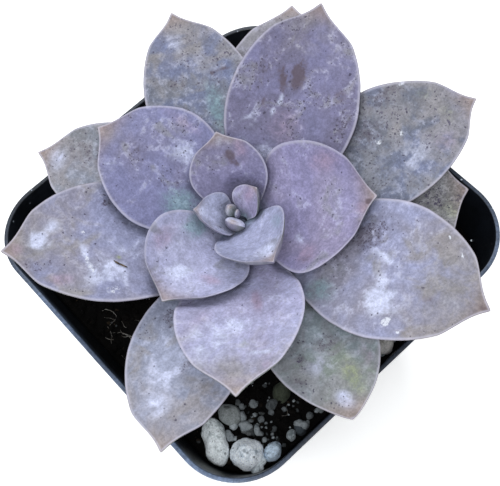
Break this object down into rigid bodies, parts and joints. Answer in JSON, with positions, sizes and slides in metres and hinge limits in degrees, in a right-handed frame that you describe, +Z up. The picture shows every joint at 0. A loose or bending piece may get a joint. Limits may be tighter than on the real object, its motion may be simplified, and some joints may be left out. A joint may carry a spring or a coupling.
{
  "type": "potted succulent",
  "caption": "Rosette of thick, powdery lilac-grey pointed leaves on a short stem, growing in dark gritty soil with pumice stones in a small square black nursery pot.",
  "frame": {"origin": "centre of the pot's base, on the face that it stands on", "axes": "+Z up along the pot's axis; +X and +Y square to the pot's sides"},
  "size_m": [0.1155, 0.1155, 0.1107],
  "materials": {
    "pot": "satin",
    "soil": "matte",
    "stem": "matte",
    "pumice": "matte",
    "grit": "matte",
    "leaf": "matte"
  },
  "bodies": {
    "root": {"pot": "pot", "soil": "soil", "stem": "stem", "pumice_long": "pumice", "pumice_round": "pumice", "pumice_grey": "pumice", "pumice_small": "pumice", "pumice_wall": "pumice", "pumice_edge": "pumice", "pumice_side": "pumice", "dark_lump": "grit", "leaf_01": "leaf", "leaf_02": "leaf", "leaf_03": "leaf", "leaf_04": "leaf", "leaf_05": "leaf", "leaf_06": "leaf", "leaf_07": "leaf", "leaf_08": "leaf", "leaf_09": "leaf", "leaf_10": "leaf", "leaf_11": "leaf", "leaf_12": "leaf", "leaf_13": "leaf", "leaf_14": "leaf", "leaf_15": "leaf", "leaf_16": "leaf", "leaf_17": "leaf", "leaf_18": "leaf", "leaf_19": "leaf", "leaf_20": "leaf", "leaf_22": "leaf"}
  },
  "joints": []
}
